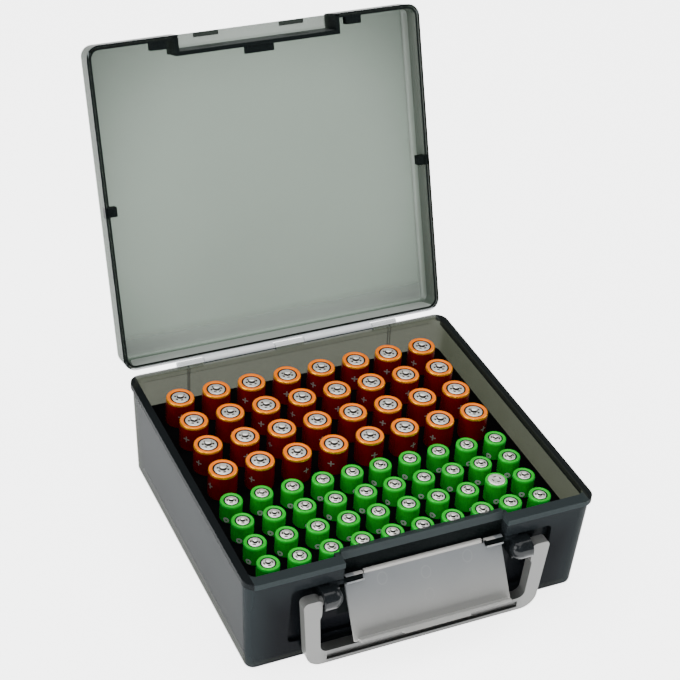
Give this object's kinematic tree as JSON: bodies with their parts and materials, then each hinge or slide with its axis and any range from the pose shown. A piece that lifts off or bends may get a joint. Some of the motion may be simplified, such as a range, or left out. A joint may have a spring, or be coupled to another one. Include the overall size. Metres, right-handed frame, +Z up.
{
  "type": "battery storage drawer case",
  "caption": "Hinged case with a foam insert of round cell sockets, a see-through lid, a front latch flap and a folding carry handle.",
  "frame": {"origin": "middle of the underside of the case, under the middle of the rim", "axes": "+Z up, -Y towards the latch and handle, +X to the right seen from the front"},
  "size_m": [0.179, 0.2558, 0.2116],
  "materials": {
    "smoke_shell": "smooth translucent smoke moulding",
    "steel_pin": "drawn wire",
    "black_foam": "closed-cell foam",
    "clear_lid": "smooth translucent grey moulding",
    "frosted_flap": "satin translucent moulding",
    "grey_handle": "satin moulding",
    "aa_can": "printed foil sleeve",
    "aaa_can": "printed foil sleeve"
  },
  "bodies": {
    "case": {"base_shell": "smoke_shell", "hinge_pin": "steel_pin", "foam_insert": "black_foam", "aa_cells_row_1": "aa_can", "aa_cells_row_2": "aa_can", "aa_cells_row_3": "aa_can", "aa_cells_row_4": "aa_can", "aaa_cells_row_1": "aaa_can", "aaa_cells_row_2": "aaa_can", "aaa_cells_row_3": "aaa_can", "aaa_cells_row_4": "aaa_can"},
    "lid": {"lid_shell": "clear_lid"},
    "latch": {"latch_flap": "frosted_flap"},
    "carry_handle": {"handle": "grey_handle"}
  },
  "joints": [
    {"name": "lid_hinge", "type": "hinge", "parent": "case", "child": "lid", "pos_m": [0, 0.0842, 0.0554], "axis": [1, 0, 0], "range_deg": [0, 110.1]},
    {"name": "latch_hinge", "type": "hinge", "parent": "case", "child": "latch", "pos_m": [0, -0.0804, 0.0438], "axis": [-1, 0, 0], "range_deg": [0, 147.5]},
    {"name": "handle_pivot", "type": "hinge", "parent": "case", "child": "carry_handle", "pos_m": [0, -0.0845, 0.0388], "axis": [-1, 0, 0], "range_deg": [-3, 175]}
  ]
}
